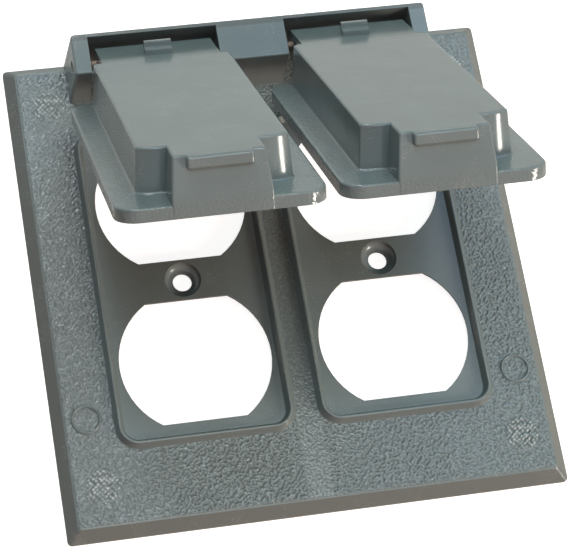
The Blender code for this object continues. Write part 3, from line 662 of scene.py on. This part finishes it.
def smooth_shading(sharpest=math.radians(35), weld=0.001 * MM):
    """Geometry nodes that join a casting's loose triangles and shade them smooth across gentle bends."""
    group = bpy.data.node_groups.get("Smooth shading")
    if group:
        return group
    group = bpy.data.node_groups.new("Smooth shading", "GeometryNodeTree")
    group.interface.new_socket("Geometry", in_out="INPUT", socket_type="NodeSocketGeometry")
    group.interface.new_socket("Geometry", in_out="OUTPUT", socket_type="NodeSocketGeometry")
    given = group.nodes.new("NodeGroupInput").outputs[0]
    plain = add_node(group, "GeometryNodeRemoveAttribute", {"Geometry": given, "Name": "custom_normal"}).outputs[0]
    joined = add_node(group, "GeometryNodeMergeByDistance", {"Geometry": plain, "Distance": weld}).outputs[0]
    faces = add_node(group, "GeometryNodeSetShadeSmooth", {"Geometry": joined}).outputs[0]
    angle = group.nodes.new("GeometryNodeInputMeshEdgeAngle").outputs["Unsigned Angle"]
    gentle = add_node(
        group, "FunctionNodeCompare", {0: angle, 1: sharpest}, data_type="FLOAT", operation="LESS_EQUAL"
    ).outputs[0]
    edges = add_node(
        group, "GeometryNodeSetShadeSmooth", {"Geometry": faces, "Shade Smooth": gentle}, domain="EDGE"
    ).outputs[0]
    fill(group, group.nodes.new("NodeGroupOutput").inputs, {0: edges})
    return group


def dress_node(name, material):
    """Gives a casting of the frame its material and smooth shading that leaves its broad faces level."""
    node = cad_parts[name]
    node.data.materials.clear()
    node.data.materials.append(material)
    node.modifiers.new("Smooth shading", "NODES").node_group = smooth_shading()
    level = node.modifiers.new("Level faces", "WEIGHTED_NORMAL")
    level.mode = "FACE_AREA"
    level.weight = 80
    level.keep_sharp = True


# Shapes

def hammered_height(x, y, sizes):
    """Height of the hammered face over the cast face, and how near each point is to a crest.

    Slow waves bend the coordinates, a slant turns them and draws them out, and domes on them give the lumps. A
    strength that drifts over the plate, and is low between the rims, scales the lumps. In the ragged round spots,
    taller domes on a slanted and more regular lattice take their place.
    """
    waver = 0.45 * MM
    bent_x = x + waver * (drift(x, y, pitch=1.3 * MM, seed=11) - 0.5)
    bent_y = y + waver * (drift(x, y, pitch=1.3 * MM, seed=17) - 0.5)
    run_x = math.cos(sizes.lump_slant)
    run_y = math.sin(sizes.lump_slant)
    along = bent_x * run_x + bent_y * run_y
    across = bent_y * run_x - bent_x * run_y
    lumps = domes(along / sizes.lump_stretch, across, sizes.lump_pitch, seed=3)
    strength = 0.7 + 0.45 * drift(x, y, pitch=9 * MM, seed=23)
    between_rims = 1 - smooth_step(2.6 * MM, 3.4 * MM, np.abs(x))
    strength *= 1 - 0.75 * between_rims
    height = sizes.lump_height * strength * lumps
    crest = lumps
    for centre in SPOT_CENTRES:
        dx = x - centre[0]
        dy = y - centre[1]
        ragged = np.hypot(dx, dy) + 0.5 * MM * (drift(x, y, pitch=0.9 * MM, seed=29) - 0.5)
        inside = 1 - smooth_step(sizes.spot_radius - 0.35 * MM, sizes.spot_radius + 0.1 * MM, ragged)
        turned_x = 0.8 * dx + 0.6 * dy
        turned_y = 0.8 * dy - 0.6 * dx
        diamonds = domes(turned_x * 0.8, turned_y, sizes.knurl_pitch * 0.85, seed=31, jitter=0.45)
        height = height * (1 - inside) + inside * sizes.knurl_height * diamonds
        # Past 1, the crest marks the diamonds' tops, which get a painted highlight.
        crest = crest * (1 - inside) + inside * (0.25 + diamonds)
    return height, crest


def hammered_grid(sizes):
    """Grid points of the hammered face, the squares to keep, and how near each point is to a crest.

    The grid spans the face inside the bevel and a little more. Its height is the cast face's, plus a small lift, plus
    the relief, which fades towards the bevel, less a sink that takes the grid's edge under the cast face. Squares
    under the rims and the housing's walls are left out.
    """
    lift, sink, overhang = 0.015 * MM, 0.4 * MM, 0.1 * MM
    under_rim, under_wall, into_wall = 0.6 * MM, 0.5 * MM, 0.4 * MM
    half_x = PLATE_CORNER.x - BEVEL_WIDTH
    half_y = PLATE_CORNER.y - BEVEL_WIDTH
    reach = sizes.spot_radius + 0.4 * MM
    lines = []
    for half, spot in ((half_x, SPOT_X), (half_y, SPOT_Y)):
        fine = [(side * spot - reach, side * spot + reach) for side in (-1, 1)]
        lines.append(grid_lines(-half - overhang, half + overhang, sizes.grid_step, sizes.fine_step, fine))
    x, y = np.meshgrid(*lines, indexing="xy")
    height, crest = hammered_height(x, y, sizes)
    edge = np.minimum(half_x - np.abs(x), half_y - np.abs(y))
    inner = smooth_step(0.0, 0.7 * MM, edge)
    sunk = 1 - smooth_step(-0.15 * MM, 0.3 * MM, edge)
    z = FACE_Z + lift + height * (0.35 + 0.65 * inner) - sink * sunk
    middle_x = (x[:-1, :-1] + x[1:, 1:]) / 2
    middle_y = (y[:-1, :-1] + y[1:, 1:]) / 2
    housing_middle = (0.0, sum(HOUSING_Y) / 2)
    housing_half = (HOUSING_X, (HOUSING_Y[1] - HOUSING_Y[0]) / 2)
    keep = outside_box(middle_x, middle_y, housing_middle, housing_half) > -under_wall
    for side in (-1, 1):
        across = np.abs(middle_x - side * GANG_X) < POCKET_HALF + into_wall
        keep |= across & (middle_y < POCKET_REAR + into_wall)
    for side in (-1, 1):
        keep &= outside_box(middle_x, middle_y, (side * GANG_X, 0.0), RIM_HALF, RIM_CORNER) > -under_rim
    return np.stack([x, y, z], axis=-1), keep, crest


def raised_ring(name, centre, sizes):
    """A low ring on the face: a profile carried round a circle.

    The profile's height is the cosine of the place across it, to the power 1.4, and its feet lie under the face.
    """
    across = np.linspace(-1.0, 1.0, 15)[:, None]
    turn = np.linspace(0.0, 2 * math.pi, 96, endpoint=False)
    radius = sizes.ring_radius + across * sizes.ring_width * 0.75
    x = centre[0] + radius * np.cos(turn)
    y = centre[1] + radius * np.sin(turn)
    foot = FACE_Z - 0.05 * MM
    z = np.broadcast_to(foot + sizes.ring_height * np.cos(across * math.pi / 2) ** 1.4, x.shape)
    return surface(name, np.stack([x, y, z], axis=-1)[::-1], closed=True)


def around_hinge(x, radius, angle):
    """Points round a hinge axis at angles from +Z towards +Y."""
    return np.stack([x, HINGE_Y + radius * np.sin(angle), HINGE_Z + radius * np.cos(angle)], axis=-1)


def spring_paths(side, sizes):
    """The wire of one spring in two lengths: floor leg with coil, and the lid leg with the end of the last turn.

    The coil is a helix: its angle and its place along the hinge grow evenly together. Each leg leaves it straight,
    across the hinge and along the coil's circle at that end.
    """
    lid_leg_length = 15.75 * MM
    floor_gap = 0.3 * MM
    shared = math.radians(75.0)
    offset = sizes.coil_turns * sizes.coil_pitch / 2
    start = math.radians(240.0)
    end = math.pi + REST_OPENING
    turn = 2 * math.pi * sizes.coil_turns + end - start
    share = np.linspace(0.0, 1.0, 40 * sizes.coil_turns + 1)
    coil = around_hinge(side * GANG_X + side * offset * (2 * share - 1), sizes.coil_radius, start + turn * share)
    run = np.array([0.0, math.cos(start), -math.sin(start)])
    length = (coil[0, 2] - (FACE_Z + floor_gap + sizes.wire_radius)) / run[2]
    floor_leg = coil[0] - run * length * np.linspace(1.0, 0.0, 10, endpoint=False)[:, None]
    run = np.array([0.0, math.cos(end), -math.sin(end)])
    lid_leg = coil[-1] + run * lid_leg_length * np.linspace(0.0, 1.0, 14)[1:, None]
    overlap = round(shared / turn * len(share))
    return np.concatenate([floor_leg, coil]), np.concatenate([coil[-overlap:], lid_leg])


# Operators

class COVER_OT_plate(bpy.types.Operator):
    """Gives the cast plate its enamel"""

    bl_idname = "cover.plate"
    bl_label = "Plate"

    def execute(self, context):
        dress_node("base_plate", finish_material("plate_enamel", plate_enamel))
        return {"FINISHED"}


class COVER_OT_hammered_face(bpy.types.Operator):
    """Lays the hammered relief over the plate's face, in four quarters"""

    bl_idname = "cover.hammered_face"
    bl_label = "Hammered face"

    def execute(self, context):
        points, keep, crest = hammered_grid(context.scene.cover_sizes)
        enamel = finish_material("hammered_enamel", hammered_enamel)
        left = points[:-1, :-1, 0] < 0.0
        front = points[:-1, :-1, 1] < 0.0
        for row, in_row in (("front", front), ("rear", ~front)):
            for side, on_side in (("left", left), ("right", ~left)):
                quarter = keep & in_row & on_side
                piece = surface(f"hammered_face_{row}_{side}", points, keep=quarter, layers={"crest": crest})
                finish_piece(piece, enamel, "base", "grey_enamel")
        return {"FINISHED"}


class COVER_OT_raised_rings(bpy.types.Operator):
    """Adds the two plain raised rings near the lower corners"""

    bl_idname = "cover.raised_rings"
    bl_label = "Raised rings"

    def execute(self, context):
        for side, centre in RING_CENTRES.items():
            ring = raised_ring("raised_ring_" + side, centre, context.scene.cover_sizes)
            finish_piece(ring, finish_material("plate_enamel", plate_enamel), "base", "grey_enamel")
        return {"FINISHED"}


class COVER_OT_lids(bpy.types.Operator):
    """Gives both lids their enamel"""

    bl_idname = "cover.lids"
    bl_label = "Lids"

    def execute(self, context):
        for name in ("lid_left", "lid_right"):
            dress_node(name, finish_material("smooth_enamel", smooth_enamel))
        return {"FINISHED"}


class COVER_OT_gaskets(bpy.types.Operator):
    """Gives the gaskets their foam"""

    bl_idname = "cover.gaskets"
    bl_label = "Gaskets"

    def execute(self, context):
        for name in ("plate_gasket", "lid_gasket_left", "lid_gasket_right"):
            dress_node(name, finish_material("closed_cell_foam", gasket_foam))
        return {"FINISHED"}


class COVER_OT_pins(bpy.types.Operator):
    """Gives the hinge pins their steel"""

    bl_idname = "cover.pins"
    bl_label = "Hinge pins"

    def execute(self, context):
        for name in ("hinge_pin_left", "hinge_pin_right"):
            dress_node(name, finish_material("turned_steel", turned_steel))
        return {"FINISHED"}


class COVER_OT_springs(bpy.types.Operator):
    """Winds the two torsion springs, each as a coil on the plate and a leg that goes with the lid"""

    bl_idname = "cover.springs"
    bl_label = "Torsion springs"

    def execute(self, context):
        sizes = context.scene.cover_sizes
        steel = finish_material("spring_wire", spring_steel)
        for side, word in ((-1, "left"), (1, "right")):
            coil_path, leg_path = spring_paths(side, sizes)
            coil = wire("spring_coil_" + word, coil_path, sizes.wire_radius)
            finish_piece(coil, steel, "base", "spring_steel", "torsion_spring_" + word)
            leg = wire("spring_leg_" + word, leg_path, sizes.wire_radius)
            finish_piece(leg, steel, word + "_lid", "spring_steel")
        return {"FINISHED"}


class COVER_OT_stage(bpy.types.Operator):
    """Adds the camera, the floor, the lamps and the pale surroundings"""

    bl_idname = "cover.stage"
    bl_label = "Stage"

    def execute(self, context):
        add_floor(context.scene.cover_finish)
        add_camera()
        add_lamps()
        add_surroundings()
        context.scene.view_settings.view_transform = "Standard"
        return {"FINISHED"}


def add_floor(finish, half_width=3.0, drop=0.05 * MM):
    """A wide level floor just under the plate."""
    line = np.linspace(-half_width, half_width, 13)
    x, y = np.meshgrid(line, line, indexing="xy")
    floor = surface("studio_floor", np.stack([x, y, np.full_like(x, -drop)], axis=-1))
    floor.data.materials.append(studio_floor(finish))


def add_camera():
    """The camera at the photograph's viewing angle."""
    data = bpy.data.cameras.new("camera")
    data.sensor_width = 36.0
    data.lens = 152.757
    data.shift_x = 0.01143
    data.shift_y = -0.00389
    data.clip_start = 0.02
    camera = bpy.data.objects.new("camera", data)
    camera.location = (-0.095148, -0.192340, 0.516524)
    camera.rotation_euler = [math.radians(angle) for angle in (21.58764, -6.80785, -9.51383)]
    bpy.context.scene.collection.objects.link(camera)
    bpy.context.scene.camera = camera


def add_lamp(name, place, size, power, colour=(1.0, 1.0, 1.0), target=(0.0, 0.0, 0.02), glint=False):
    """A soft rectangular lamp that faces a point. A glint lamp shows in reflections and lights nothing else."""
    data = bpy.data.lights.new(name, "AREA")
    data.shape = "RECTANGLE"
    data.size, data.size_y = size
    data.energy = power
    data.color = colour
    lamp = bpy.data.objects.new(name, data)
    lamp.location = place
    lamp.rotation_euler = (Vector(target) - Vector(place)).to_track_quat("-Z", "Y").to_euler()
    lamp.visible_diffuse = not glint
    bpy.context.scene.collection.objects.link(lamp)


def add_lamps():
    """Two soft lamps overhead, a small one and a glint behind, and a tall strip at the front right."""
    behind = (-0.1, 0.42, 0.42)
    add_lamp("overhead", (0.0, 0.0, 0.9), size=(0.5, 0.5), power=3.1, colour=(0.9, 1.03, 1.04))
    add_lamp("overhead_rear", (0.45, 0.45, 0.75), size=(0.4, 0.4), power=0.65, colour=(0.2, 0.92, 2.0))
    add_lamp("behind", behind, size=(0.1, 0.1), power=0.72, colour=(0.95, 1.02, 1.14))
    add_lamp(
        "strip",
        (0.526, -0.414, 0.31),
        size=(0.11, 0.3),
        power=3.0,
        colour=(1.12, 1.04, 0.92),
        target=(0.015, 0.0, 0.07),
    )
    add_lamp("glint_behind", behind, size=(0.1, 0.1), power=1.6, glint=True)


def soft_glow(tree, way, azimuth, elevation, colour, tightness=5.0):
    """Light from round one direction: the cosine of the angle to it, to a power, times a colour."""
    turn, rise = math.radians(azimuth), math.radians(elevation)
    axis = (math.cos(rise) * math.cos(turn), math.cos(rise) * math.sin(turn), math.sin(rise))
    facing = vectors(tree, "DOT_PRODUCT", {0: way, 1: axis})["Value"]
    glow = maths(tree, "POWER", maths(tree, "MAXIMUM", facing, 0.0), tightness)
    return vectors(tree, "SCALE", {0: colour, "Scale": glow})[0]


def add_surroundings():
    """Soft low light from the rear right and, warmer, from the front right; white for camera and reflections."""
    world = bpy.data.worlds.new("studio")
    world.use_nodes = True
    tree = world.node_tree
    tree.nodes.clear()
    way = tree.nodes.new("ShaderNodeTexCoord").outputs["Generated"]
    tint = (0.04, 0.035, 0.03)
    for azimuth, elevation, colour in (
        (60.0, 15.0, (1.12, 1.24, 0.72)),
        (300.0, 15.0, (0.95, 0.2, 0.05)),
    ):
        tint = vectors(tree, "ADD", {0: soft_glow(tree, way, azimuth, elevation, colour), 1: tint})[0]
    soft = add_node(tree, "ShaderNodeBackground", {"Color": tint, "Strength": 1.0})
    white = add_node(tree, "ShaderNodeBackground", {"Color": WHITE, "Strength": 1.0})
    path = tree.nodes.new("ShaderNodeLightPath").outputs
    mirrored = maths(tree, "MAXIMUM", path["Is Glossy Ray"], path["Is Transmission Ray"])
    seen = maths(tree, "MAXIMUM", path["Is Camera Ray"], mirrored)
    mix = add_node(tree, "ShaderNodeMixShader", {0: seen, 1: soft.outputs[0], 2: white.outputs[0]})
    add_node(tree, "ShaderNodeOutputWorld", {"Surface": mix.outputs[0]})
    bpy.context.scene.world = world


class COVER_PT_panel(bpy.types.Panel):
    """Lists the pieces of the cover and their sizes and colours"""

    bl_idname = "COVER_PT_panel"
    bl_label = "Outlet Cover"
    bl_space_type = "VIEW_3D"
    bl_region_type = "UI"
    bl_category = "Outlet Cover"

    def draw(self, context):
        for operator in OPERATORS:
            self.layout.operator(operator.bl_idname)
        for group in (context.scene.cover_sizes, context.scene.cover_finish):
            for name in group.bl_rna.properties.keys():
                if name not in ("rna_type", "name"):
                    self.layout.prop(group, name)


OPERATORS = (
    COVER_OT_plate,
    COVER_OT_hammered_face,
    COVER_OT_raised_rings,
    COVER_OT_lids,
    COVER_OT_gaskets,
    COVER_OT_pins,
    COVER_OT_springs,
    COVER_OT_stage,
)


def register():
    """Registers the groups, operators and panel."""
    for item in (CoverSizes, CoverFinish, *OPERATORS, COVER_PT_panel):
        bpy.utils.register_class(item)
    bpy.types.Scene.cover_sizes = PointerProperty(type=CoverSizes)
    bpy.types.Scene.cover_finish = PointerProperty(type=CoverFinish)


def unregister():
    """Takes them away again."""
    del bpy.types.Scene.cover_finish
    del bpy.types.Scene.cover_sizes
    for item in (COVER_PT_panel, *reversed(OPERATORS), CoverFinish, CoverSizes):
        bpy.utils.unregister_class(item)


def main():
    """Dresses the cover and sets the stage."""
    register()
    bpy.ops.cover.plate()
    bpy.ops.cover.hammered_face()
    bpy.ops.cover.raised_rings()
    bpy.ops.cover.lids()
    bpy.ops.cover.gaskets()
    bpy.ops.cover.pins()
    bpy.ops.cover.springs()
    bpy.ops.cover.stage()


if __name__ == "__main__":
    main()
